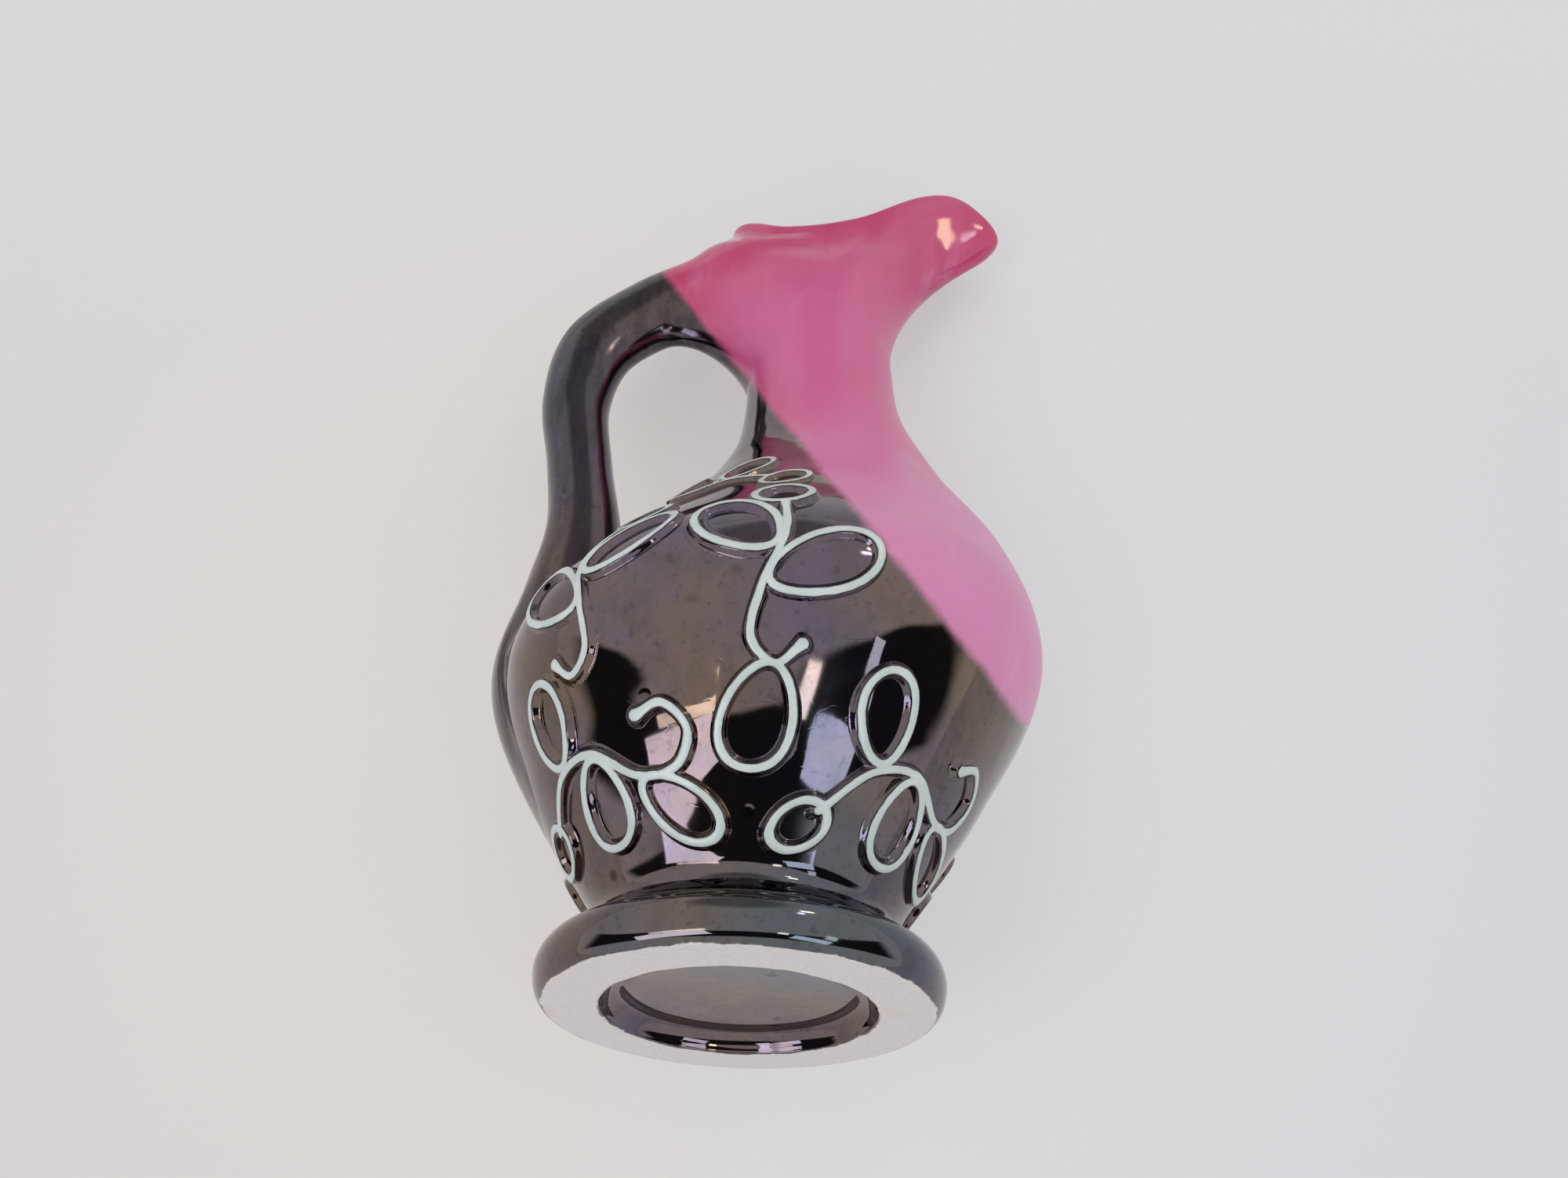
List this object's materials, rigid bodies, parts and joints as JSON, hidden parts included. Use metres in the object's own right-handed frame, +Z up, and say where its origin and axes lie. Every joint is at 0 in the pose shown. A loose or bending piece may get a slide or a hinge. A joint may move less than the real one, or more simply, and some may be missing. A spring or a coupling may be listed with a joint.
{
  "type": "ceramic carafe",
  "caption": "Glazed ceramic carafe with a round belly on a foot ring, a slender neck drawn into a pouring beak, a loop handle and raised slip-trailed sprigs.",
  "frame": {"origin": "on the plane the foot stands on, under the middle of the carafe's length from handle to beak", "axes": "+Z up, +X towards the pouring beak, the handle towards -X, +Y to the left seen from the handle"},
  "size_m": [0.1243, 0.1164, 0.2392],
  "materials": {
    "black_lustre": "black glaze with a metallic lustre, glossy",
    "pink_glaze": "milky pink glaze, glossy",
    "celadon_slip": "pale celadon slip under clear glaze"
  },
  "bodies": {
    "root": {"foot_ring": "black_lustre", "belly": "black_lustre", "neck": "pink_glaze", "handle": "black_lustre", "sprig_left_low_1": "celadon_slip", "sprig_left_low_2": "celadon_slip", "sprig_left_mid_3": "celadon_slip", "sprig_left_mid_4": "celadon_slip", "sprig_left_top_5": "celadon_slip", "sprig_right_low_1": "celadon_slip", "sprig_right_low_2": "celadon_slip", "sprig_right_mid_3": "celadon_slip", "sprig_right_mid_4": "celadon_slip", "sprig_right_top_5": "celadon_slip"}
  },
  "joints": []
}
